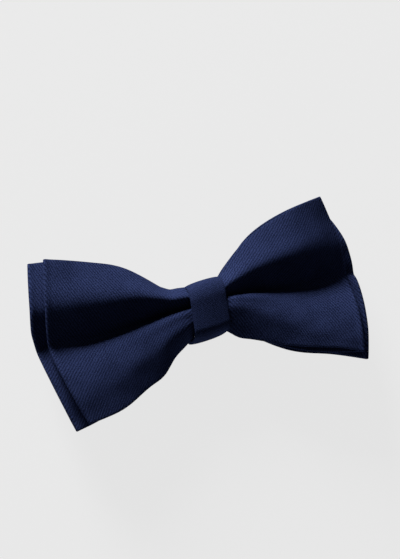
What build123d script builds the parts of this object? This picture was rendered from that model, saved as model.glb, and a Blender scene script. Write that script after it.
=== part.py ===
"""Double-layer pre-tied bow tie with a sprung steel collar clip behind its knot.

Millimetres. The bow lies on its back: X runs along its length, Y across it, and +Z is the way its
front faces. The origin is on the surface it lies on, under the middle of the knot.
"""

import os

from build123d import *

# ---------------------------------------------------------------- driving dimensions
CLOTH = 1.0  # a panel: two plies of twill with the interlining between them
INTERLINING = 0.35
INTERLINING_INSET = 1.2  # the seam allowance left free of interlining
THREAD = 0.3  # sewing thread
CORD_THREAD = 0.5  # the heavier thread that binds the waist

FRONT_HALF = 56.5  # middle of the front bow's outer fold
FRONT_CORNER = 53.0  # its corners, which the pinch at the waist pulls in
BACK_HALF = 60.0
BACK_CORNER = 56.8

WAIST_HALF = 8.7  # half height of the gathers at the waist
WAIST_SPLIT = 8.5  # the height at which the front bow's gathers lie on the back bow's
WAIST_LENGTH = 12.4
WAIST_FRONT_CORNER = 5.9  # the gathers are rounded at the front and flatter at the back
WAIST_BACK_CORNER = 2.6

KNOT_WIDTH = 13.6
KNOT_FRONT = 17.6
WRAP = 0.7
KNOT_INTERLINING = 0.4
RING_GAP = 0.03  # between one layer of the knot and the next
SEAM_WIDTH = 1.8
SEAM_DEPTH = 0.36  # a little over the thread's thickness

CLIP_HALF_WIDTH = 4.5
PLATE = 0.8
PLATE_TOP = 3.4
PLATE_HALF_LENGTH = 24.0
LEAF = 0.3
SHEET = 0.6  # sheet the clip's ears and arms are stamped from
HINGE_X = 10.0
HINGE_Z = 1.4
PIN_R = 0.5
PIN_RUNNING = 0.05  # radial clearance of an arm on its pin
PIN_HEAD_R = 0.8
PIN_HEAD = 0.3
EAR_R = 1.0
ARM_UNDER = 0.3  # the shut arms' clearance over the table
ARM_NOSE_R = 0.85
ARM_WEB_START = 9.2
ARM_SIDE_GAP = 0.2  # between an arm's flange and the ear beside it
ARM_TIP = 26.0
LIP_INSET = 2.0  # how much narrower the finger lip is than the arm
FLANGE_FLAT = 2.6  # the flanges' full height runs this far past the pin
FLANGE_END = 17.0
TOOTH_WALL_X = 23.1
TOOTH = 0.9  # pitch and height of the teeth
TOOTH_CLEAR = 0.1  # between the teeth and the plate when the arm is shut
SEW_X = 5.2
SEW_Y = 3.2
SEW_HOLE_R = 0.4
SEW_DEPTH = 0.3  # how deep a stitch bites into the gathers
RIVET_X = 2.5
RIVET_R = 0.7
RIVET_HEAD = 0.3

# How far outside the gathers each layer of the knot lies.
BINDING_MIDDLE = RING_GAP + CORD_THREAD / 2
LINING_INSIDE = CORD_THREAD + 2 * RING_GAP
LINING_OUTSIDE = LINING_INSIDE + KNOT_INTERLINING
WRAP_INSIDE = LINING_OUTSIDE + RING_GAP
WRAP_OUTSIDE = WRAP_INSIDE + WRAP
# Heights that follow from the sizes above.
WAIST_TOP = KNOT_FRONT - WRAP_OUTSIDE
WAIST_BOTTOM = PLATE_TOP + LINING_INSIDE
RIVET_UNDER = PLATE_TOP - PLATE - LEAF - RIVET_HEAD
LINING_BACK = RIVET_UNDER - RING_GAP
WRAP_BACK = LINING_BACK - KNOT_INTERLINING - RING_GAP  # its ends overlap, down to the table

# Each panel is described at a few stations: x, half height, and the height above the table of
# its two long edges, of its two lobes and of the valley between them.
FRONT_FACE = [
    (0, 7.6, 11.2, 14.1, 12.4),
    (7, 7.6, 11.2, 14.6, 12.0),
    (18, 13.5, 12.6, 16.4, 10.7),
    (34, 23.5, 14.0, 16.3, 9.9),
    (48, 28.6, 15.6, 14.6, 9.0),
    (58, 30.2, 16.6, 12.6, 8.4),
]
FRONT_REAR = [
    (0, 7.6, 10.1, 10.0, 9.8),
    (7, 7.6, 10.1, 10.0, 9.6),
    (18, 13.5, 10.9, 9.7, 8.9),
    (34, 23.5, 12.2, 10.0, 8.2),
    (48, 28.6, 14.4, 10.6, 7.6),
    (58, 30.2, 15.6, 11.6, 7.4),
]
BACK_FACE = [
    (0, 8.4, 7.4, 7.9, 7.2),
    (7, 8.4, 7.3, 7.9, 6.9),
    (18, 14.2, 6.8, 7.5, 6.5),
    (34, 24.4, 6.4, 7.2, 6.2),
    (48, 29.4, 6.0, 6.4, 5.9),
    (62, 31.2, 5.7, 5.7, 5.6),
]
BACK_REAR = [
    (0, 8.4, 5.8, 5.3, 5.0),
    (7, 8.4, 5.6, 5.1, 4.8),
    (18, 14.2, 5.0, 4.6, 4.4),
    (34, 24.4, 4.8, 4.4, 4.4),
    (48, 29.4, 4.7, 4.6, 4.6),
    (62, 31.2, 4.7, 4.7, 4.6),
]
LOBE_AT = 0.7  # where across the half height a lobe is highest
SHOULDER_AT = 0.35

os.makedirs("parts", exist_ok=True)


def save(name, shape):
    """Writes one node."""
    export_step(shape, f"parts/{name}.step")


def both_ends(shape):
    """The shape and its mirror image at the other end of the bow."""
    return [shape, mirror(shape, about=Plane.YZ)]


# ---------------------------------------------------------------- the two bows
def strip_section(station, thickness, inset):
    """Cross-section of one panel: a thin strip with two lobes and a valley."""
    x, half, edge, lobe, valley = station
    half -= inset
    shoulder = (lobe + valley) / 2
    across = [
        (-1, edge),
        (-LOBE_AT, lobe),
        (-SHOULDER_AT, shoulder),
        (0, valley),
        (SHOULDER_AT, shoulder),
        (LOBE_AT, lobe),
        (1, edge),
    ]
    upper = [Vector(x, v * half, z + thickness / 2) for v, z in across]
    lower = [Vector(x, v * half, z - thickness / 2) for v, z in across]
    outline = Wire(
        [
            Edge.make_spline(upper),
            Edge.make_line(upper[-1], lower[-1]),
            Edge.make_spline(lower[::-1]),
            Edge.make_line(lower[0], upper[0]),
        ]
    )
    return Face(outline)


def panel(stations, thickness, inset=0.0):
    """One panel from end to end of the bow, still square at its ends."""
    half = loft([strip_section(s, thickness, inset) for s in stations])
    return Part() + both_ends(half)


def end_trim(middle, corner, height):
    """A block whose two ends bulge as the outer folds do, to cut the panels' ends to shape."""
    right = Edge.make_three_point_arc((corner, -height), (middle, 0), (corner, height))
    left = Edge.make_three_point_arc((-corner, height), (-middle, 0), (-corner, -height))
    top = Edge.make_line((corner, height), (-corner, height))
    bottom = Edge.make_line((-corner, -height), (corner, -height))
    face = Face(Wire([right, top, left, bottom]))
    return extrude(face, KNOT_FRONT + CLOTH)


def waist_section(growth, low=WAIST_BOTTOM):
    """A rounded outline facing +X, so far outside the gathers, down to the height given."""
    high = WAIST_TOP + growth
    outline = Rectangle(2 * (WAIST_HALF + growth), high - low)
    rows = outline.vertices().group_by(Axis.Y)
    outline = fillet(rows[-1], WAIST_FRONT_CORNER + growth)
    outline = fillet(outline.vertices().group_by(Axis.Y)[0], WAIST_BACK_CORNER + growth)
    return Plane(origin=(0, 0, (low + high) / 2), x_dir=(0, 1, 0), z_dir=(1, 0, 0)) * outline


def gathers(low, high):
    """The pleats of one bow, squeezed together under the binding between two heights."""
    core = extrude(waist_section(0), WAIST_LENGTH / 2, both=True)
    size = (WAIST_LENGTH, 2 * WAIST_HALF, high - low)
    return core & Pos(0, 0, (low + high) / 2) * Box(*size)


def bow(face, rear, middle, corner, waist):
    """A bow's twill shell and the interlining sealed in its two panels."""
    height = face[-1][1] + 1.5
    trim = end_trim(middle, corner, height)
    shell = (panel(face, CLOTH) + panel(rear, CLOTH)) & trim
    shell += gathers(*waist)
    inner_trim = end_trim(middle - 2 * CLOTH, corner - 2 * CLOTH, height)
    sheets = [panel(s, INTERLINING, INTERLINING_INSET) & inner_trim for s in (face, rear)]
    for sheet in sheets:
        shell -= sheet
    return shell, Compound(children=[s.solid() for s in sheets])


# ---------------------------------------------------------------- the knot
def ring(inside, outside, underside, back, width):
    """A band round the waist and the clip, from its underside to its inside at the back."""
    outer = extrude(waist_section(outside, underside), width / 2, both=True)
    inner = extrude(waist_section(inside, back), width / 2, both=True)
    return outer - inner


def knot():
    """The twill wrap, with a groove along the seam at its back, and the interlining under it."""
    lining_under = LINING_BACK - KNOT_INTERLINING
    lining_width = KNOT_WIDTH - 2 * CLOTH
    lining = ring(LINING_INSIDE, LINING_OUTSIDE, lining_under, LINING_BACK, lining_width)
    wrap = ring(WRAP_INSIDE, WRAP_OUTSIDE, 0, WRAP_BACK, KNOT_WIDTH)
    wrap -= Pos(0, 0, SEAM_DEPTH / 2) * Box(2 * KNOT_WIDTH, SEAM_WIDTH, SEAM_DEPTH)
    return wrap, lining


def thread_loop(path, diameter):
    """One closed turn of thread along an outline."""
    wire = path.wire()
    section = Plane(origin=wire @ 0, z_dir=wire % 0) * Circle(diameter / 2)
    return sweep(section, path=wire)


def waist_binding():
    """Five turns of heavy thread that hold the pleats of both bows together."""
    turns, pitch = 5, 1.1
    path = waist_section(BINDING_MIDDLE, WAIST_BOTTOM - BINDING_MIDDLE)
    loop = thread_loop(path, CORD_THREAD)
    places = [(i - (turns - 1) / 2) * pitch for i in range(turns)]
    return Compound(children=[Pos(x, 0, 0) * loop for x in places])


def knot_stitches():
    """The slanting slip stitches that close the wrap, sunk in its seam."""
    stitches, pitch, length, slant = 6, 2.0, 1.5, 55
    bar = Rot(0, 0, slant) * Rot(0, 90, 0) * Cylinder(THREAD / 2, length)
    places = [(i - (stitches - 1) / 2) * pitch for i in range(stitches)]
    return Compound(children=[Pos(x, 0, SEAM_DEPTH / 2) * bar for x in places])


# ---------------------------------------------------------------- the collar clip
def plate():
    """The clip's base: a flat strip with two hinge ears near each end of the knot."""
    blank = RectangleRounded(2 * PLATE_HALF_LENGTH, 2 * CLIP_HALF_WIDTH, 2.0)
    body = extrude(Pos(0, 0, PLATE_TOP - PLATE) * blank, PLATE)
    for x in (-HINGE_X, HINGE_X):
        for side in (-1, 1):
            y = side * (CLIP_HALF_WIDTH - SHEET / 2)
            drop = PLATE_TOP - PLATE - HINGE_Z
            lug = Pos(x, y, HINGE_Z) * Rot(90, 0, 0) * Cylinder(EAR_R, SHEET)
            neck = Pos(x, y, HINGE_Z + drop / 2) * Box(2 * EAR_R, SHEET, drop)
            body += [lug, neck]
        body -= Pos(x, 0, HINGE_Z) * Rot(90, 0, 0) * Cylinder(PIN_R, 3 * CLIP_HALF_WIDTH)
    middle = PLATE_TOP - PLATE / 2
    for x in (-SEW_X, SEW_X):
        for y in (-SEW_Y, SEW_Y):
            body -= Pos(x, y, middle) * Cylinder(SEW_HOLE_R, 2 * PLATE)
    for x in (-RIVET_X, RIVET_X):
        body -= Pos(x, 0, middle) * Cylinder(RIVET_R, 2 * PLATE)
    return body


def leaf_spring():
    """A flat spring riveted under the plate: its wide ends press on the arms' noses."""
    reach = HINGE_X + ARM_NOSE_R
    wide = CLIP_HALF_WIDTH - SHEET - ARM_SIDE_GAP
    z = PLATE_TOP - PLATE - LEAF / 2
    body = Pos(0, 0, z) * Box(2 * reach, 2 * 2.2, LEAF)
    for end in (-1, 1):
        body += Pos(end * (reach - 1.3), 0, z) * Box(2.6, 2 * wide, LEAF)
    for x in (-RIVET_X, RIVET_X):
        body -= Pos(x, 0, z) * Cylinder(RIVET_R, 2 * LEAF)
    return body


def rivets():
    """Two round-head rivets, closed flush with the plate's upper face."""
    under = PLATE_TOP - PLATE - LEAF
    solids = []
    for x in (-RIVET_X, RIVET_X):
        shank = Pos(x, 0, (PLATE_TOP + under) / 2) * Cylinder(RIVET_R, PLATE_TOP - under)
        head = Pos(x, 0, under - RIVET_HEAD / 2) * Cylinder(1.8 * RIVET_R, RIVET_HEAD)
        solids.append((shank + head).solid())
    return Compound(children=solids)


def arm():
    """The right-hand arm, shut: a channel with a toothed wall near its tip and a finger lip."""
    outside = CLIP_HALF_WIDTH - SHEET - ARM_SIDE_GAP
    web_top = ARM_UNDER + SHEET
    wall_end = TOOTH_WALL_X + SHEET
    web = Pos((ARM_WEB_START + wall_end) / 2, 0, ARM_UNDER + SHEET / 2)
    body = web * Box(wall_end - ARM_WEB_START, 2 * outside, SHEET)
    lip = Pos((wall_end + ARM_TIP) / 2, 0, ARM_UNDER + SHEET / 2)
    body += lip * Box(ARM_TIP - wall_end, 2 * outside - LIP_INSET, SHEET)
    nose_top = HINGE_Z + ARM_NOSE_R
    for side in (-1, 1):
        y = side * (outside - SHEET / 2)
        profile = Polyline(
            (HINGE_X, ARM_UNDER),
            (FLANGE_END, ARM_UNDER),
            (FLANGE_END, web_top),
            (HINGE_X + FLANGE_FLAT, nose_top),
            (HINGE_X, nose_top),
            close=True,
        )
        side_plane = Plane(origin=(0, y + SHEET / 2, 0), x_dir=(1, 0, 0), z_dir=(0, -1, 0))
        body += extrude(side_plane * make_face(profile), SHEET)
        body += Pos(HINGE_X, y, HINGE_Z) * Rot(90, 0, 0) * Cylinder(ARM_NOSE_R, SHEET)
    hole = Cylinder(PIN_R + PIN_RUNNING, 3 * CLIP_HALF_WIDTH)
    body -= Pos(HINGE_X, 0, HINGE_Z) * Rot(90, 0, 0) * hole
    root = PLATE_TOP - PLATE - TOOTH_CLEAR - TOOTH
    wall = Pos(TOOTH_WALL_X + SHEET / 2, 0, (ARM_UNDER + root) / 2)
    body += wall * Box(SHEET, 2 * outside, root - ARM_UNDER)
    teeth = int(2 * outside / TOOTH)
    outline = Polyline((-TOOTH / 2, 0), (TOOTH / 2, 0), (0, TOOTH), close=True)
    for i in range(teeth):
        y = (i - (teeth - 1) / 2) * TOOTH
        plane = Plane(origin=(TOOTH_WALL_X, y, root), x_dir=(0, 1, 0), z_dir=(1, 0, 0))
        body += extrude(plane * make_face(outline), SHEET)
    return body


def hinge_pin():
    """The right-hand pin, headed outside both ears."""
    span = 2 * CLIP_HALF_WIDTH
    body = Cylinder(PIN_R, span + 2 * PIN_HEAD)
    for side in (-1, 1):
        body += Pos(0, 0, side * (span / 2 + PIN_HEAD / 2)) * Cylinder(PIN_HEAD_R, PIN_HEAD)
    return Pos(HINGE_X, 0, HINGE_Z) * Rot(90, 0, 0) * body


def clip_stitches():
    """Four loops of thread, through the plate's holes and round its long edges."""
    low = PLATE_TOP - PLATE - THREAD / 2
    high = WAIST_BOTTOM + SEW_DEPTH
    inner = SEW_Y
    outer = CLIP_HALF_WIDTH + THREAD
    solids = []
    for x in (-SEW_X, SEW_X):
        for side in (-1, 1):
            centre = (x, side * (inner + outer) / 2, (low + high) / 2)
            plane = Plane(origin=centre, x_dir=(0, 1, 0), z_dir=(1, 0, 0))
            path = plane * RectangleRounded(outer - inner, high - low, 1.2 * THREAD)
            solids.append(thread_loop(path, THREAD))
    return Compound(children=solids)


# ---------------------------------------------------------------- write every node
front_waist = (WAIST_SPLIT, WAIST_TOP)
front_shell, front_lining = bow(FRONT_FACE, FRONT_REAR, FRONT_HALF, FRONT_CORNER, front_waist)
save("front_bow_shell", front_shell)
save("front_bow_interlining", front_lining)

sewing = clip_stitches()
back_waist = (WAIST_BOTTOM, WAIST_SPLIT)
back_shell, back_lining = bow(BACK_FACE, BACK_REAR, BACK_HALF, BACK_CORNER, back_waist)
for stitch in sewing.solids():
    back_shell -= stitch
save("back_bow_shell", back_shell)
save("back_bow_interlining", back_lining)
save("waist_binding_thread", waist_binding())

wrap_ring, lining_ring = knot()
save("knot_wrap", wrap_ring)
save("knot_interlining", lining_ring)
save("knot_seam_stitches", knot_stitches())

save("clip_base_plate", plate())
save("clip_leaf_spring", leaf_spring())
save("clip_rivets", rivets())
save("clip_stitches", sewing)
for name, arm_shape, pin_shape in zip(("right", "left"), both_ends(arm()), both_ends(hinge_pin())):
    save(f"clip_arm_{name}", arm_shape)
    save(f"clip_hinge_pin_{name}", pin_shape)
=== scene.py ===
"""The looks of the double-layer bow tie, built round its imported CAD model.

Shapes are worked out in millimetres and turned into metres as each mesh is made. The bow lies on
its back: +X to its right wing, +Y to its upper edge as worn, +Z the way its front faces.
"""

import math

import bpy
import mathutils
import numpy as np
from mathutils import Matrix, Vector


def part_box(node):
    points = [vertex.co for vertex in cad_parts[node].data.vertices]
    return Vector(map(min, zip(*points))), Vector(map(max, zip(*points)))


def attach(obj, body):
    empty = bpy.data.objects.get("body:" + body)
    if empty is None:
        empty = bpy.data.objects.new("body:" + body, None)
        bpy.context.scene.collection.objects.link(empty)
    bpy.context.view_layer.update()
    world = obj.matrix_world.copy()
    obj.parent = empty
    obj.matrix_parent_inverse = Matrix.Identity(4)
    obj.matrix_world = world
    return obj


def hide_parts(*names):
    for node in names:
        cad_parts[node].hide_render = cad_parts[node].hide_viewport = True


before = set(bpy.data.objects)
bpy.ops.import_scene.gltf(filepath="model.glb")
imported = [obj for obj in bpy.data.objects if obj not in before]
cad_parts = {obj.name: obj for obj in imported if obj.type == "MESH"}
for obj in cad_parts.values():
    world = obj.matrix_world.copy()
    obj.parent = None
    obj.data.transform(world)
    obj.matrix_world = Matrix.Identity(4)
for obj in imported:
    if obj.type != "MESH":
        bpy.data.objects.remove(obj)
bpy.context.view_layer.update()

MM = 0.001
CLOTH = 0.8  # a panel: two plies of twill with the interlining between them
LINING = 0.25
LINING_INSET = 0.05  # of the panel's width, left free of interlining at each long edge
HOLLOW = 1.2  # the hollow round the interlining is this many times as thick

# How finely the bows are divided.
PANEL_ROWS = 60
PANEL_CROWDING = 1.3  # rows lie closer together towards the fold
ACROSS = 76
FOLD_ROWS = 6
EDGE_STEPS = 5

FOLD_R = 0.45  # the middle of the cloth where a bow's outer end is pressed flat
FOLD_RISE = 0.35  # a pressed fold stands a little proud of the panel beside it
FOLD_WIDTH = 1.1
GATHERS = 3.4  # half waves of gathered cloth from the middle of a panel to its edge
GATHERS_FROM = 8.0  # they are deepest at the knot's side
GATHERS_FADE = 9.0
FACE_GATHERS = 0.10
REAR_GATHERS = 0.30
UNEVEN = 0.09
# How an outer fold curves in towards its corners, and the height at which it is furthest out.
FRONT_END = (1.5, 0)
LEFT_BACK_END = (1.35, 5)
RIGHT_BACK_END = (2.2, 0)

KNOT_RADII = (4.3, 7.2, 2.8, 4.3)  # its corners from its end: upper back, upper front, and so on
KNOT_SLIM = 0.4  # how far its top and bottom lie inside the CAD one's
KNOT_TUCK = 1.7  # how far its lower side is drawn in at the front
KNOT_DROP = 1.0  # and let down at the back
KNOT_TUCK_LOW, KNOT_TUCK_HIGH = 6.0, 16.0  # the heights between which it is drawn in
KNOT_ROWS = 240
KNOT_LEAN = 0.08  # how it leans towards the right wing, and how its front tips down
KNOT_TIP = 0.045
KNOT_SHIFT = 0.3  # it sits a little to the right
WRAP = 0.7
OVERLAP_ROWS = 22  # how much of its band lies under its own end
SEAM_ROWS = 1
SEAM_GAP = 0.08
KNOT_LINING = 0.3
KNOT_LINING_IN, KNOT_LINING_UP = 0.95, 1.77  # how far inside the wrap's surface, and above its back

# ---------------------------------------------------------------- the shape of the wings
# One line per station along a wing, from the middle of the knot out to the fold:
#   x at mid height, and how far the upper and the lower corner are pulled in from it;
#   the upper and the lower half height;
#   the upper edge's z; the ridge's place, as a share of the half height, and its z;
#   the valley's y and z; the y and z of the lip below it;
#   the belly's place and z; the lower edge's z.
LEFT_FRONT = [
    (0.0, 0.0, 0.0, 7.6, 7.6, 11.4, 0.50, 14.7, 0.8, 12.0, 0.3, 13.9, 0.45, 14.7, 11.4),
    (6.5, 0.0, 0.0, 8.6, 8.4, 11.2, 0.50, 15.3, 0.9, 11.0, 0.3, 14.5, 0.45, 15.3, 11.4),
    (8.6, 0.0, 0.0, 8.8, 9.8, 11.0, 0.50, 16.2, 0.9, 10.3, 0.1, 15.2, 0.45, 16.2, 11.8),
    (12.0, 0.0, 0.0, 9.2, 12.0, 11.0, 0.50, 16.6, 0.9, 9.6, -0.2, 15.2, 0.45, 16.5, 12.6),
    (16.0, 0.0, 0.0, 12.2, 14.7, 11.1, 0.48, 16.8, 0.7, 9.2, -0.8, 14.9, 0.45, 16.6, 13.4),
    (20.0, 0.0, 0.0, 15.8, 18.7, 11.2, 0.47, 16.9, 0.2, 8.9, -1.6, 14.5, 0.45, 16.6, 14.2),
    (26.0, 0.2, 0.2, 20.1, 21.6, 11.4, 0.46, 17.0, -0.5, 8.7, -2.6, 13.7, 0.46, 16.5, 14.6),
    (35.0, 0.8, 0.8, 23.5, 25.8, 11.6, 0.46, 16.9, -1.4, 8.7, -3.9, 12.6, 0.54, 16.3, 15.4),
    (46.0, 2.6, 3.4, 26.3, 28.3, 12.0, 0.47, 16.5, -1.6, 9.1, -5.0, 11.7, 0.62, 16.1, 15.8),
    (56.2, 4.8, 6.6, 28.4, 29.2, 12.2, 0.50, 15.5, -1.0, 10.2, -5.5, 11.2, 0.72, 15.5, 15.5),
]
RIGHT_FRONT = [
    (0.0, 0.0, 0.0, 7.6, 7.6, 11.4, 0.50, 14.7, 0.8, 12.0, 0.3, 13.9, 0.45, 14.7, 11.4),
    (6.5, 0.0, 0.0, 9.0, 10.0, 11.2, 0.45, 15.3, 1.5, 11.0, 1.0, 14.7, 0.28, 15.2, 11.4),
    (8.6, 0.0, 0.0, 11.0, 12.0, 11.0, 0.44, 16.0, 1.8, 10.2, 1.3, 15.2, 0.25, 15.9, 11.8),
    (12.0, 0.0, 0.0, 14.0, 13.7, 11.0, 0.43, 16.4, 1.9, 9.5, 1.2, 15.2, 0.28, 16.3, 12.8),
    (17.0, 0.0, 0.0, 18.0, 15.9, 11.8, 0.43, 16.8, 1.6, 9.0, 0.6, 15.0, 0.36, 16.5, 14.2),
    (25.0, 0.2, 0.2, 22.4, 19.2, 12.7, 0.45, 17.1, 0.6, 8.7, -0.7, 13.2, 0.52, 17.0, 15.8),
    (35.0, 0.8, 0.8, 25.8, 22.2, 13.4, 0.46, 16.9, -0.3, 8.5, -1.9, 11.0, 0.74, 17.4, 17.2),
    (46.0, 2.6, 2.2, 28.3, 24.9, 16.1, 0.45, 16.2, -0.2, 8.9, -2.6, 10.1, 0.86, 17.9, 17.9),
    (54.2, 4.8, 3.4, 29.2, 27.8, 17.0, 0.43, 15.3, 1.0, 10.4, -3.0, 11.1, 0.86, 18.0, 18.0),
]
# A rear panel's last station is the face's, turned over the fold.
LEFT_FRONT_REAR = [
    (0.0, 0.0, 0.0, 7.6, 7.6, 10.4, 0.50, 10.4, 0.0, 10.1, -1.0, 10.1, 0.50, 10.4, 10.4),
    (6.5, 0.0, 0.0, 7.8, 8.0, 10.2, 0.50, 10.6, 0.0, 9.8, -1.0, 9.9, 0.50, 10.6, 10.2),
    (17.0, 0.0, 0.0, 12.6, 15.0, 9.8, 0.50, 10.4, 0.0, 8.4, -2.0, 8.6, 0.50, 10.6, 10.2),
    (28.0, 0.3, 0.3, 20.6, 22.2, 9.8, 0.50, 11.0, -0.5, 7.9, -3.0, 8.2, 0.50, 11.2, 10.8),
    (42.0, 1.8, 2.4, 25.2, 27.6, 11.0, 0.50, 12.4, -0.5, 8.2, -3.5, 8.4, 0.50, 12.2, 12.2),
]
RIGHT_FRONT_REAR = [
    (0.0, 0.0, 0.0, 7.6, 7.6, 10.4, 0.50, 10.4, 0.0, 10.1, -1.0, 10.1, 0.50, 10.4, 10.4),
    (6.5, 0.0, 0.0, 8.4, 8.6, 10.2, 0.50, 10.6, 0.0, 9.8, -1.0, 9.9, 0.50, 10.6, 9.8),
    (17.0, 0.0, 0.0, 17.8, 14.6, 9.8, 0.50, 10.4, 0.0, 8.4, -2.0, 8.6, 0.50, 10.6, 9.8),
    (28.0, 0.3, 0.3, 24.4, 20.6, 10.2, 0.50, 11.0, -0.5, 7.9, -3.0, 8.2, 0.50, 11.2, 10.6),
    (42.0, 1.8, 1.8, 28.0, 25.2, 12.8, 0.50, 12.8, -0.5, 8.2, -3.5, 8.4, 0.50, 12.6, 13.6),
]
LEFT_BACK = [
    (0.0, 0.0, 0.0, 7.4, 7.4, 8.0, 0.50, 8.4, 0.0, 7.6, -1.0, 7.6, 0.50, 8.4, 8.0),
    (6.5, 0.0, 0.0, 7.8, 8.2, 7.8, 0.50, 8.2, 0.0, 7.4, -1.0, 7.4, 0.50, 8.2, 7.8),
    (17.0, 0.0, 0.0, 13.6, 14.6, 6.6, 0.50, 7.8, 0.0, 6.8, -1.5, 6.8, 0.50, 7.8, 7.0),
    (28.0, 0.2, 0.2, 20.6, 21.4, 5.8, 0.48, 7.8, 0.0, 6.2, -1.5, 6.2, 0.56, 7.6, 7.0),
    (44.0, 1.2, 2.0, 27.0, 27.8, 5.0, 0.46, 9.2, 0.0, 6.0, -1.5, 6.0, 0.80, 8.6, 8.6),
    (60.7, 4.6, 6.9, 28.9, 30.6, 5.4, 0.45, 11.4, 0.0, 7.0, -1.5, 6.4, 0.90, 11.4, 11.8),
]
RIGHT_BACK = [
    (0.0, 0.0, 0.0, 7.4, 7.4, 8.0, 0.50, 8.4, 0.0, 7.6, -1.0, 7.6, 0.50, 8.4, 8.0),
    (6.5, 0.0, 0.0, 7.8, 8.2, 7.8, 0.50, 8.2, 0.0, 7.4, -1.0, 7.4, 0.50, 8.2, 7.8),
    (17.0, 0.0, 0.0, 14.2, 14.2, 6.8, 0.50, 7.8, 0.0, 6.8, -1.5, 6.8, 0.50, 7.8, 6.8),
    (28.0, 0.2, 0.2, 21.0, 19.8, 6.2, 0.50, 7.6, 0.0, 6.2, -1.5, 6.2, 0.50, 7.6, 6.4),
    (44.0, 1.2, 1.2, 25.2, 25.4, 6.2, 0.50, 8.4, 0.0, 6.0, -1.5, 6.4, 0.60, 8.6, 7.6),
    (57.6, 6.0, 4.2, 25.4, 30.7, 9.4, 0.50, 12.0, 0.0, 9.0, -1.5, 10.2, 0.60, 13.4, 12.8),
]
BACK_REAR = [
    (0.0, 0.0, 0.0, 6.8, 6.8, 6.6, 0.50, 5.8, 0.0, 5.4, -1.0, 5.4, 0.50, 5.8, 6.6),
    (6.5, 0.0, 0.0, 7.6, 7.6, 6.2, 0.50, 5.6, 0.0, 5.2, -1.0, 5.2, 0.50, 5.6, 6.2),
    (17.0, 0.0, 0.0, 13.4, 13.6, 5.2, 0.50, 5.1, 0.0, 4.9, -1.5, 4.9, 0.50, 5.1, 5.2),
    (28.0, 0.2, 0.2, 20.4, 20.6, 4.8, 0.50, 5.0, 0.0, 4.8, -1.5, 4.8, 0.50, 5.0, 4.8),
    (44.0, 1.2, 1.4, 26.0, 25.6, 4.4, 0.50, 5.4, 0.0, 4.6, -1.5, 4.6, 0.50, 5.2, 4.6),
]


def spline(values, t, knots=None):
    """A natural cubic spline through values at the knots (0, 1, 2 ... if none), read at t."""
    values = np.asarray(values, float)
    n = len(values)
    knots = np.arange(n, dtype=float) if knots is None else np.asarray(knots, float)
    gap = np.diff(knots)
    slope = np.diff(values, axis=0) / gap.reshape((-1,) + (1,) * (values.ndim - 1))
    system = np.eye(n)
    right = np.zeros_like(values)
    for i in range(1, n - 1):
        system[i, i - 1 : i + 2] = gap[i - 1], 2 * (gap[i - 1] + gap[i]), gap[i]
        right[i] = 6 * (slope[i] - slope[i - 1])
    bend = np.linalg.solve(system, right.reshape(n, -1)).reshape(values.shape)
    i = np.clip(np.searchsorted(knots, t, side="right") - 1, 0, n - 2)
    shape = (-1,) + (1,) * (values.ndim - 1)
    a = ((knots[i + 1] - t) / gap[i]).reshape(shape)
    b = ((t - knots[i]) / gap[i]).reshape(shape)
    h2 = (gap[i] ** 2 / 6).reshape(shape)
    curve = (a**3 - a) * bend[i] + (b**3 - b) * bend[i + 1]
    return a * values[i] + b * values[i + 1] + curve * h2


def evenly(points, count):
    """The same line with its points spread evenly along it."""
    steps = np.linalg.norm(np.diff(points, axis=0), axis=1)
    along = np.concatenate([[0], np.cumsum(steps)])
    places = np.linspace(0, along[-1], count)
    return np.stack([np.interp(places, along, points[:, k]) for k in range(points.shape[1])], 1)


def cross_section(station, bulge, peak):
    """Points (x, y, z) across a panel at a station, from its upper edge to its lower one."""
    x, in_up, in_low, up, low, top_z, ridge_at, ridge_z = station[:8]
    vy, vz, cy, cz, belly_at, belly_z, low_z = station[8:]
    above = [
        (1.0, top_z),
        (0.46 + 0.54 * ridge_at, top_z + 0.64 * (ridge_z - top_z)),
        (ridge_at, ridge_z),
        (0.60 * ridge_at, ridge_z - 0.30 * (ridge_z - vz)),
        (0.24 * ridge_at, vz + 0.30 * (ridge_z - vz)),
        (0.0, vz),
    ]
    below = [
        (0.0, cz),
        (0.45 * belly_at, cz + 0.72 * (belly_z - cz)),
        (belly_at, belly_z),
        (0.40 + 0.60 * belly_at, belly_z - 0.30 * (belly_z - low_z)),
        (1.0, low_z),
    ]
    line = [(vy + f * (up - vy), z) for f, z in above]
    line += [(cy - f * (low + cy), z) for f, z in below]
    line = np.array(line)
    chord = np.sqrt(np.linalg.norm(np.diff(line, axis=0), axis=1))
    knots = np.concatenate([[0], np.cumsum(chord)])
    valley = knots[len(above) - 1]
    half = ACROSS // 2
    upper = evenly(spline(line, np.linspace(0, valley, 12 * half), knots), half + 1)
    lower = evenly(spline(line, np.linspace(valley, knots[-1], 12 * half), knots), half + 1)
    line = np.concatenate([upper, lower[1:]])
    y = line[:, 0]
    far = np.where(y > peak, (y - peak) / (up - peak), (peak - y) / (low + peak))
    pull = np.where(y > peak, in_up, in_low) * np.clip(far, 0, None) ** bulge
    return np.column_stack([x - pull, line])


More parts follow.
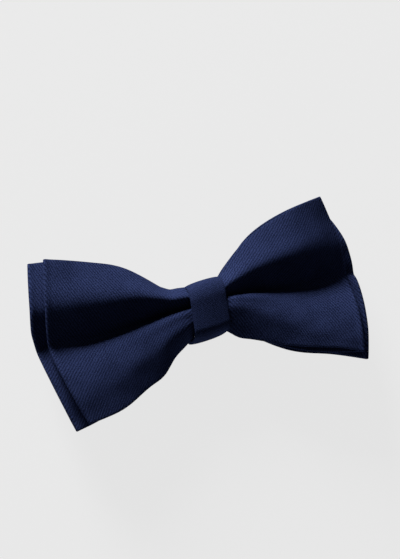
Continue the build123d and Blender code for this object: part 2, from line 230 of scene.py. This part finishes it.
def crumple(grid, depth):
    """Gathers that fan out from the knot and fade, and the cloth's faint unevenness."""
    x, y = grid[:, :, 0], grid[:, :, 1]
    share = y / np.abs(y).max(axis=1, keepdims=True)
    fade = np.exp(-np.maximum(x - GATHERS_FROM, 0) / GATHERS_FADE)
    fade *= np.minimum(x / GATHERS_FROM, 1)
    pleats = np.cos(GATHERS * math.pi * share + 0.8) + 0.5 * np.cos(2.3 * GATHERS * share)
    uneven = np.sin(0.31 * x + 0.17 * y) * np.sin(0.23 * y - 0.11 * x + 1.0)
    uneven += 0.6 * np.sin(0.53 * x - 0.37 * y + 2.0) * np.sin(0.41 * y + 0.29 * x)
    lift = depth * fade * pleats + UNEVEN * uneven * np.minimum(x / 20, 1)
    return grid + lift[:, :, None] * (0, 0, 1)


def panel(stations, end, depth, last=None):
    """A dense grid over one panel, rows from the knot outwards; last is one more line at the end,
    which isn't crumpled."""
    lines = [cross_section(s, *end) for s in stations]
    if last is not None:
        lines.append(last)
    knots = np.array([line[ACROSS // 2, 0] for line in lines])
    out = 1 - (1 - np.linspace(0, 1, PANEL_ROWS)) ** PANEL_CROWDING
    grid = spline(np.array(lines), knots[0] + out * (knots[-1] - knots[0]), knots)
    if last is None:
        return crumple(grid, depth)
    keep = np.clip((1 - out) * 10, 0, 1)[:, None, None]
    return grid + (crumple(grid, depth) - grid) * keep


def wing(face, rear, end):
    """A wing's face, fold and rear as one grid, from the knot's front round to its back."""
    front = panel(face, end, FACE_GATHERS)
    left_over = front[-1, ACROSS // 2, 0] - front[:, ACROSS // 2, 0]
    front[:, :, 2] += FOLD_RISE * np.exp(-((left_over / FOLD_WIDTH) ** 2))[:, None]
    edge = front[-1]
    turned = edge - (0, 0, 2 * FOLD_R)
    back = panel(rear, end, REAR_GATHERS, turned)
    along = np.gradient(edge, axis=0)
    out = np.column_stack([-along[:, 1], along[:, 0], np.zeros(len(along))])
    out /= np.linalg.norm(out, axis=1)[:, None]
    out *= np.sign(out[:, :1])
    centre = edge - (0, 0, FOLD_R)
    angles = np.linspace(math.pi / 2, -math.pi / 2, FOLD_ROWS + 2)[1:-1]
    up = np.array([0, 0, 1.0])
    fold = [centre + FOLD_R * (math.cos(a) * out + math.sin(a) * up) for a in angles]
    return np.concatenate([front, np.array(fold), back[::-1]])


def mirrored(grid):
    """The grid at the other end of the bow."""
    return grid * (-1, 1, 1)


def loop_of(left, right):
    """A closed strip from the back of the knot, round the left wing and then the right one."""
    return np.concatenate([mirrored(left)[::-1], right[1:-1]])


# ---------------------------------------------------------------- meshes
def unit(v):
    return v / np.maximum(np.linalg.norm(v, axis=-1, keepdims=True), 1e-9)


def along_rows(grid, closed):
    """Direction along a grid, whose rows may close on themselves."""
    if closed:
        return np.roll(grid, -1, axis=0) - np.roll(grid, 1, axis=0)
    return np.gradient(grid, axis=0)


def with_ends(grid, r):
    """An open strip's grid with rows added for its two rounded ends, and each row's half height."""
    turn = np.linspace(0, math.pi / 2, EDGE_STEPS + 1)[1:]
    start, end = unit(grid[0] - grid[1]), unit(grid[-1] - grid[-2])
    before = [grid[0] + start * r * math.sin(a) for a in turn[::-1]]
    after = [grid[-1] + end * r * math.sin(a) for a in turn]
    thin = np.maximum(np.cos(turn), 0.04) * r
    half = np.concatenate([thin[::-1], np.full(len(grid), r), thin])
    return np.concatenate([before, grid, after]), half


def skin(grid, thickness, closed=True):
    """Points of a thick cloth with round edges on a grid: rows by places round a section."""
    r = np.full(len(grid), thickness / 2)
    if not closed:
        grid, r = with_ends(grid, thickness / 2)
    across = np.gradient(grid, axis=1)
    normal = unit(np.cross(along_rows(grid, closed), across))
    r = r[:, None, None]
    outer = grid + normal * r
    inner = (grid - normal * r)[:, ::-1]

    def edge(column, outward, angles):
        out, up = unit(outward), normal[:, column]
        turns = [
            grid[:, column] + r[:, 0] * (math.cos(a) * up + math.sin(a) * out) for a in angles
        ]
        return np.stack(turns, 1)

    turn = np.linspace(0, math.pi, EDGE_STEPS + 2)[1:-1]
    last = edge(-1, across[:, -1], turn)
    first = edge(0, -across[:, 0], turn[::-1])
    return np.concatenate([outer, last, inner, first], axis=1)


def section_places(grid, thickness):
    """How far across the cloth each place round a section is, in millimetres from its middle."""
    half = grid.shape[1] // 2
    steps = np.linalg.norm(np.diff(grid, axis=1), axis=2)
    far = np.concatenate([np.zeros((len(grid), 1)), np.cumsum(steps, axis=1)], axis=1)
    far = far - far[:, half : half + 1]
    turn = np.linspace(0, math.pi * thickness / 2, EDGE_STEPS + 2)[1:-1]
    last = far[:, -1:] + turn
    first = far[:, :1] - turn[::-1]
    return np.concatenate([far, last, far[:, ::-1], first], axis=1)


def quads(rows, places, closed):
    """Faces of a tube of rows, each row a ring of places."""
    count = rows if closed else rows - 1
    i, k = np.meshgrid(np.arange(count), np.arange(places), indexing="ij")
    i2, k2 = (i + 1) % rows, (k + 1) % places
    faces = np.stack([i * places + k, i2 * places + k, i2 * places + k2, i * places + k2], -1)
    return i, k, i2, k2, faces.reshape(-1, 4).tolist()


def strip_mesh(name, grid, thickness, material, hollow=None, closed=True):
    """A strip of cloth. UVs are millimetres of cloth, along and across the strip."""
    points = skin(grid, thickness, closed)
    rows, places = points.shape[:2]
    if not closed:
        grid = with_ends(grid, thickness / 2)[0]
    steps = np.linalg.norm(np.diff(grid, axis=0), axis=2).mean(axis=1)
    along = np.concatenate([[0], np.cumsum(steps)])
    if closed:
        along = np.append(along, along[-1] + np.linalg.norm(grid[0] - grid[-1], axis=1).mean())
    along -= along[-1] / 2
    far = section_places(grid, thickness)
    i, k, i2, k2, faces = quads(rows, places, closed)
    u = np.stack([along[i], along[i + 1], along[i + 1], along[i]], -1)
    v = np.stack([far[i, k], far[i2, k], far[i2, k2], far[i, k2]], -1)
    uv = np.stack([u, v], -1).reshape(-1, 2)
    vertices = points.reshape(-1, 3)
    if not closed:
        for row, order in ((0, 1), (rows - 1, -1)):
            cap = [row * places + k for k in range(places)][::order]
            faces.append(cap)
            uv = np.concatenate([uv, [(along[row], far[row, k - row * places]) for k in cap]])
    if hollow is not None:
        h_rows, h_places = hollow.shape[:2]
        inside = quads(h_rows, h_places, True)[-1]
        faces += [[len(vertices) + v for v in face[::-1]] for face in inside]
        uv = np.concatenate([uv, np.zeros((4 * len(inside), 2))])
        vertices = np.concatenate([vertices, hollow.reshape(-1, 3)])
    return mesh_object(name, vertices, faces, material, uv)


def mesh_object(name, vertices, faces, material, uv=None):
    """A smooth-shaded object from points in millimetres."""
    mesh = bpy.data.meshes.new(name)
    mesh.from_pydata((np.asarray(vertices) * MM).tolist(), [], faces)
    if uv is not None:
        layer = mesh.uv_layers.new(name="cloth")
        layer.data.foreach_set("uv", np.asarray(uv, np.float32).ravel())
    mesh.polygons.foreach_set("use_smooth", [True] * len(mesh.polygons))
    mesh.materials.append(material)
    mesh.update()
    obj = bpy.data.objects.new(name, mesh)
    bpy.context.scene.collection.objects.link(obj)
    return obj


def lining_grid(grid):
    """The part of a cloth's grid that its interlining covers."""
    inset = max(2, round(LINING_INSET * grid.shape[1]))
    return grid[:, inset:-inset]


# ---------------------------------------------------------------- materials
class Nodes:
    """Builds a material's node tree: calls return sockets, so that a pattern reads as a formula."""

    def __init__(self, name):
        self.material = bpy.data.materials.new(name)
        self.material.use_nodes = True
        self.tree = self.material.node_tree
        self.shader = next(n for n in self.tree.nodes if n.type == "BSDF_PRINCIPLED")

    def node(self, kind, **settings):
        made = self.tree.nodes.new(kind)
        for key, value in settings.items():
            setattr(made, key, value)
        return made

    def link(self, source, target):
        if isinstance(source, (int, float, tuple)):
            target.default_value = source
        else:
            self.tree.links.new(source, target)

    def math(self, operation, a, b=0.0, c=0.0):
        made = self.node("ShaderNodeMath", operation=operation)
        for source, target in zip((a, b, c), made.inputs):
            self.link(source, target)
        return made.outputs[0]

    def cloth(self):
        """The two cloth coordinates, in millimetres."""
        uv = self.node("ShaderNodeUVMap", uv_map="cloth")
        parts = self.node("ShaderNodeSeparateXYZ")
        self.link(uv.outputs[0], parts.inputs[0])
        return uv.outputs[0], parts.outputs[0], parts.outputs[1]

    def place(self):
        """Where a point is on the object."""
        return self.node("ShaderNodeTexCoord").outputs["Object"]

    def noise(self, vector, scale, detail=2.0, roughness=0.5):
        made = self.node("ShaderNodeTexNoise")
        self.link(vector, made.inputs["Vector"])
        made.inputs["Scale"].default_value = scale
        made.inputs["Detail"].default_value = detail
        made.inputs["Roughness"].default_value = roughness
        return made.outputs["Fac"]

    def ramp(self, factor, *stops):
        made = self.node("ShaderNodeValToRGB")
        self.link(factor, made.inputs[0])
        elements = made.color_ramp.elements
        while len(elements) < len(stops):
            elements.new(0.5)
        for element, (place, colour) in zip(elements, stops):
            element.position = place
            element.color = (*colour, 1)
        return made.outputs[0]

    def bump(self, height, distance, strength=1.0, normal=None):
        made = self.node("ShaderNodeBump")
        made.inputs["Strength"].default_value = strength
        made.inputs["Distance"].default_value = distance
        self.link(height, made.inputs["Height"])
        if normal is not None:
            self.link(normal, made.inputs["Normal"])
        return made.outputs[0]

    def set(self, **values):
        for key, value in values.items():
            self.link(value, self.shader.inputs[key.replace("_", " ")])
        return self.material


NAVY_DARK = (0.0070, 0.0102, 0.030)
NAVY = (0.033, 0.047, 0.130)
RIB = 0.88  # pitch of the twill's ribs, mm
RIB_TURN = math.radians(46)  # across the ribs, and across the threads that cross them
CROSS_TURN = math.radians(-27)


def threads(n, uv, u, v, pitch, turn):
    """Parallel threads at an angle, from 0 to 1, broken up along their length."""
    a = n.math("MULTIPLY", u, math.cos(turn) * 2 * math.pi / pitch)
    b = n.math("MULTIPLY_ADD", v, math.sin(turn) * 2 * math.pi / pitch, a)
    c = n.math("MULTIPLY_ADD", n.noise(uv, 0.9 / pitch, 2), 3.5, b)
    ridge = n.math("MULTIPLY_ADD", n.math("SINE", c), 0.5, 0.5)
    along = n.node("ShaderNodeMapping")
    n.link(uv, along.inputs["Vector"])
    along.inputs["Rotation"].default_value = (0, 0, -turn)
    along.inputs["Scale"].default_value = (2.6 / pitch, 0.8 / pitch, 1)
    slub = n.noise(along.outputs[0], 1.0, 3, 0.6)
    return n.math("MULTIPLY", ridge, n.math("MULTIPLY_ADD", slub, 1.6, -0.1))


def twill(name, pitch, depth, both, painted_shade_scale):
    """Bias-cut twill: diagonal ribs, with the other set of threads crossing them. Its colours are
    multiplied by a painted darkening factor. That is painted shading: it makes a darker copy of the
    same twill.
    """
    n = Nodes(name)
    uv, u, v = n.cloth()
    ribs = threads(n, uv, u, v, pitch, RIB_TURN)
    crossing = threads(n, uv, u, v, pitch, CROSS_TURN)
    if both:
        weave = n.math("MULTIPLY_ADD", ribs, 0.5, n.math("MULTIPLY", crossing, 0.5))
    else:
        # Which set of threads shows more strongly is set by region, from the sign of u times v
        # (each half of each wing). The threads are the cloth's own, but their uneven share is
        # painted shading, in the colour as well as in the bump.
        side = n.math("MULTIPLY", u, v)
        side = n.math("MULTIPLY_ADD", side, -0.02, 0.5)
        side = n.math("MINIMUM", n.math("MAXIMUM", side, 0.12), 0.88)
        rest = n.math("SUBTRACT", 1.0, side)
        weave = n.math("MULTIPLY_ADD", ribs, side, n.math("MULTIPLY", crossing, rest))
    grain = n.noise(uv, 2.8, 3, 0.8)
    patches = n.noise(uv, 0.10, 3)
    tone = n.math("MULTIPLY_ADD", weave, 0.4, n.math("MULTIPLY", grain, 1.9))
    tone = n.math("MULTIPLY_ADD", patches, 0.25, tone)
    tone = n.math("MULTIPLY_ADD", tone, 3.2, -3.4)
    # Painted shading: both ends of the colour ramp are scaled down by this factor.
    dark, bright = (tuple(painted_shade_scale * c for c in colour) for colour in (NAVY_DARK, NAVY))
    colour = n.ramp(tone, (0.0, dark), (1.0, bright))
    height = n.math("MULTIPLY_ADD", grain, 0.7, weave)
    rough = n.math("MULTIPLY_ADD", grain, -0.2, 0.68)
    n.set(Base_Color=colour, Roughness=rough, Normal=n.bump(height, depth * MM))
    n.set(Specular_IOR_Level=0.0)
    n.set(Sheen_Weight=0.03, Sheen_Roughness=0.4, Sheen_Tint=(0.30, 0.38, 0.80, 1.0))
    return n.material


def felt(name):
    """Undyed non-woven interlining."""
    n = Nodes(name)
    place = n.place()
    fibres = n.noise(place, 2500, 4, 0.7)
    colour = n.ramp(fibres, (0.25, (0.42, 0.41, 0.37)), (0.8, (0.68, 0.67, 0.63)))
    n.set(Base_Color=colour, Roughness=0.95, Normal=n.bump(fibres, 0.1 * MM))
    return n.material


def thread_material(name):
    """Spun navy thread: fine diagonal twist."""
    n = Nodes(name)
    parts = n.node("ShaderNodeSeparateXYZ")
    n.link(n.place(), parts.inputs[0])
    total = n.math("ADD", n.math("ADD", parts.outputs[0], parts.outputs[1]), parts.outputs[2])
    twist = n.math("SINE", n.math("MULTIPLY", total, 2 * math.pi / (0.35 * MM)))
    twist = n.math("MULTIPLY_ADD", twist, 0.5, 0.5)
    fuzz = n.noise(n.place(), 4000, 2)
    tone = n.math("MULTIPLY_ADD", fuzz, 0.4, n.math("MULTIPLY", twist, 0.6))
    colour = n.ramp(tone, (0.1, (0.010, 0.014, 0.040)), (0.9, (0.035, 0.045, 0.110)))
    n.set(Base_Color=colour, Roughness=0.6, Normal=n.bump(twist, 0.05 * MM))
    n.set(Sheen_Weight=0.3)
    return n.material


def steel(name, bright, dark, roughness, brush_across):
    """Plated sheet: brushed lines, faint smudges and tiny scratches."""
    n = Nodes(name)
    stretch = n.node("ShaderNodeMapping")
    n.link(n.place(), stretch.inputs["Vector"])
    stretch.inputs["Scale"].default_value = (1, 30, 1) if brush_across else (30, 1, 1)
    brushed = n.noise(stretch.outputs[0], 900, 2)
    smudges = n.noise(n.place(), 120, 3)
    tone = n.math("MULTIPLY_ADD", smudges, 0.5, n.math("MULTIPLY", brushed, 0.5))
    colour = n.ramp(tone, (0.25, dark), (0.75, bright))
    rough = n.math("MULTIPLY_ADD", smudges, 0.18, roughness)
    n.set(Base_Color=colour, Roughness=rough, Normal=n.bump(brushed, 0.01 * MM))
    n.set(Metallic=1.0)
    return n.material


def floor_material():
    """Plain pale paper on a light table, which glows faintly through it."""
    n = Nodes("floor_paper")
    fibres = n.noise(n.place(), 400, 2)
    colour = n.ramp(fibres, (0.3, (0.098, 0.098, 0.098)), (0.7, (0.102, 0.102, 0.102)))
    n.set(Base_Color=colour, Roughness=0.9)
    n.set(Specular_IOR_Level=0.0, Emission_Color=(1.0, 1.0, 1.0, 1.0), Emission_Strength=0.765)
    return n.material


bow_twill = twill("bow_twill", RIB, 0.07, both=False, painted_shade_scale=1.0)
# The knot is the same navy twill painted darker. This is painted shading for the way its turned
# weave catches less of the light.
knot_twill = twill("knot_twill", 0.72 * RIB, 0.05, both=True, painted_shade_scale=0.8)
interlining = felt("interlining")
thread = thread_material("thread")
clip_steel = steel("clip_steel", (0.66, 0.66, 0.67), (0.50, 0.50, 0.52), 0.26, True)
arm_steel = steel("arm_steel", (0.68, 0.68, 0.69), (0.52, 0.52, 0.54), 0.24, False)
spring_steel = steel("spring_steel", (0.34, 0.36, 0.42), (0.20, 0.21, 0.26), 0.30, False)
pin_steel = steel("pin_steel", (0.74, 0.74, 0.75), (0.60, 0.60, 0.62), 0.15, True)


# ---------------------------------------------------------------- pieces
def soft_piece(obj, node):
    """A cloth piece that stands for a CAD node and rides on the bow."""
    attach(obj, "bow")
    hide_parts(node)
    return obj


def bow(name, grid):
    """One bow: its cloth, hollow where its interlining lies, and that interlining."""
    core = lining_grid(grid)
    cavity = skin(core, HOLLOW * LINING)
    cloth = strip_mesh(name, grid, CLOTH, bow_twill, hollow=cavity)
    soft_piece(cloth, f"{name}_shell")
    lining = strip_mesh(f"{name}_lining", core, LINING, interlining)
    soft_piece(lining, f"{name}_interlining")
    return cloth, lining


def rounded_ring(half, low, high, radii, count):
    """Points (y, z) evenly round a rounded rectangle, from the middle of its underside. The radii
    go round from the lower corner on the upper edge's side: back, front, front, back."""
    arc = np.linspace(0, math.pi / 2, 24)
    corners = []
    for i, radius in enumerate(radii):
        a = arc + math.radians(90 * i - 90)
        middle_y = (half - radius) * (1 if i < 2 else -1)
        middle_z = high - radius if i in (1, 2) else low + radius
        corners.append(
            np.column_stack([middle_y + radius * np.cos(a), middle_z + radius * np.sin(a)])
        )
    line = np.concatenate([[(0, low)], *corners, [(0, low)]])
    return evenly(line, count + 1)[:-1]


def knot_ring(inside, under):
    """A closed ring (y, z) so far inside the knot's surface, and so far above its underside."""
    low, high = (np.array(corner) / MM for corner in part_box("knot_wrap"))
    radii = [r - inside for r in KNOT_RADII]
    half = high[1] - KNOT_SLIM - inside
    ring = rounded_ring(half, low[2] + under, high[2] - inside, radii, KNOT_ROWS)
    height = (ring[:, 1] - KNOT_TUCK_LOW) / (KNOT_TUCK_HIGH - KNOT_TUCK_LOW)
    tuck = KNOT_TUCK * np.clip(height, 0, 1) ** 2
    ring[:, 0] += np.where(ring[:, 0] < 0, tuck - KNOT_DROP, 0) * np.clip(-ring[:, 0] / 6, 0, 1)
    return ring


def across_knot(ring, width, count):
    """Spreads a line (y, z) over the knot's width: it sags at the edges, leans and tips down."""
    s = np.linspace(-1, 1, count)
    middle = ring.mean(axis=0)
    sag = 0.35 * s**2 + 0.25 * s**6
    tip = KNOT_TIP * (ring[:, 0].max() - ring[:, 0]) * (ring[:, 1] / ring[:, 1].max()) ** 2
    grid = np.zeros((len(ring), count, 3))
    grid[:, :, 0] = KNOT_SHIFT + s * width / 2 + KNOT_LEAN * ring[:, :1]
    grid[:, :, 1:] = ring[:, None, :] - unit(ring - middle)[:, None, :] * sag[None, :, None]
    grid[:, :, 1] += KNOT_LEAN * grid[:, :, 0]
    grid[:, :, 2] -= tip[:, None]
    return grid


def wrapped_line():
    """The knot's band, once round: it starts under its own end, at the back."""
    outer = knot_ring(WRAP / 2, WRAP / 2)
    inner = knot_ring(WRAP / 2, 1.5 * WRAP + SEAM_GAP)
    rows = np.arange(-OVERLAP_ROWS, KNOT_ROWS + 1 - SEAM_ROWS)
    places = -rows % KNOT_ROWS
    drop = np.clip((rows + 1.5) / 6, 0, 1)
    drop = (drop * drop * (3 - 2 * drop))[:, None]
    return (1 - drop) * inner[places] + drop * outer[places]


front_left = wing(LEFT_FRONT, LEFT_FRONT_REAR, FRONT_END)
front_right = wing(RIGHT_FRONT, RIGHT_FRONT_REAR, FRONT_END)
front_bow, front_lining = bow("front_bow", loop_of(front_left, front_right))
back_left = wing(LEFT_BACK, BACK_REAR, LEFT_BACK_END)
back_right = wing(RIGHT_BACK, BACK_REAR, RIGHT_BACK_END)
back_bow, back_lining = bow("back_bow", loop_of(back_left, back_right))

low, high = (np.array(corner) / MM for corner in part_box("knot_wrap"))
knot_width = high[0] - low[0] - 1.0
knot_grid = across_knot(wrapped_line(), knot_width, 41)
knot = strip_mesh("knot", knot_grid, WRAP, knot_twill, closed=False)
soft_piece(knot, "knot_wrap")
lining_ring = knot_ring(KNOT_LINING_IN, KNOT_LINING_UP)
lining_across = across_knot(lining_ring, knot_width - 5, 33)
knot_lining = strip_mesh("knot_lining", lining_across, KNOT_LINING, interlining)
soft_piece(knot_lining, "knot_interlining")

CAD_MATERIALS = {
    "waist_binding_thread": thread,
    "knot_seam_stitches": thread,
    "clip_stitches": thread,
    "clip_base_plate": clip_steel,
    "clip_leaf_spring": spring_steel,
    "clip_rivets": pin_steel,
    "clip_arm_right": arm_steel,
    "clip_arm_left": arm_steel,
    "clip_hinge_pin_right": pin_steel,
    "clip_hinge_pin_left": pin_steel,
}
for node, material in CAD_MATERIALS.items():
    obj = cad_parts[node]
    for slot in obj.material_slots:
        slot.material = material


# ---------------------------------------------------------------- floor, camera, lights
FLOOR_HALF = 3.0


def add_floor():
    mesh = bpy.data.meshes.new("floor")
    corners = [(-1, -1, 0), (1, -1, 0), (1, 1, 0), (-1, 1, 0)]
    mesh.from_pydata((FLOOR_HALF * np.array(corners)).tolist(), [], [(0, 1, 2, 3)])
    mesh.materials.append(floor_material())
    obj = bpy.data.objects.new("floor", mesh)
    bpy.context.scene.collection.objects.link(obj)


YAW, PITCH, ROLL = (math.radians(a) for a in (15.0, -5.0, 14.0))
DISTANCE = 0.435
LENS = 80.0
AIM = np.array([-0.0028, 0.0096, 0.015])  # across, up and towards the camera, from the knot


def view_axes():
    """The picture's right, its up, and the way to the camera."""
    back = np.array(
        [-math.sin(YAW) * math.cos(PITCH), math.sin(PITCH), math.cos(YAW) * math.cos(PITCH)]
    )
    level = unit(np.cross(-back, (0, 1, 0)))
    over = np.cross(level, -back)
    right = math.cos(ROLL) * level - math.sin(ROLL) * over
    up = math.sin(ROLL) * level + math.cos(ROLL) * over
    return right, up, back


def turned(right, up, back):
    """A rotation that looks along -back with up upwards."""
    return mathutils.Matrix(np.column_stack([right, up, back]).tolist()).to_euler()


def add_camera():
    right, up, back = view_axes()
    target = AIM[0] * right + AIM[1] * up + np.array([0, 0, AIM[2]])
    data = bpy.data.cameras.new("camera")
    data.lens = LENS
    data.clip_start = 0.01
    obj = bpy.data.objects.new("camera", data)
    obj.location = target + DISTANCE * back
    obj.rotation_euler = turned(right, up, back)
    bpy.context.scene.collection.objects.link(obj)
    bpy.context.scene.camera = obj


def area_light(name, place, size, watts):
    """A soft light that faces the bow."""
    data = bpy.data.lights.new(name, "AREA")
    data.size = size
    data.energy = watts
    obj = bpy.data.objects.new(name, data)
    obj.location = place
    back = unit(np.asarray(place, float))
    right = unit(np.cross((0, 1, 0.3), back))
    obj.rotation_euler = turned(right, np.cross(back, right), back)
    bpy.context.scene.collection.objects.link(obj)


def add_lights():
    right, up, back = view_axes()
    area_light("key", 1.3 * up + 0.30 * back - 0.5 * right, 0.5, 34)
    world = bpy.data.worlds.new("studio")
    world.use_nodes = True
    background = world.node_tree.nodes["Background"]
    background.inputs[0].default_value = (0.95, 0.97, 1.0, 1)
    background.inputs[1].default_value = 0.06
    bpy.context.scene.world = world
    bpy.context.scene.view_settings.view_transform = "Standard"


add_floor()
add_camera()
add_lights()
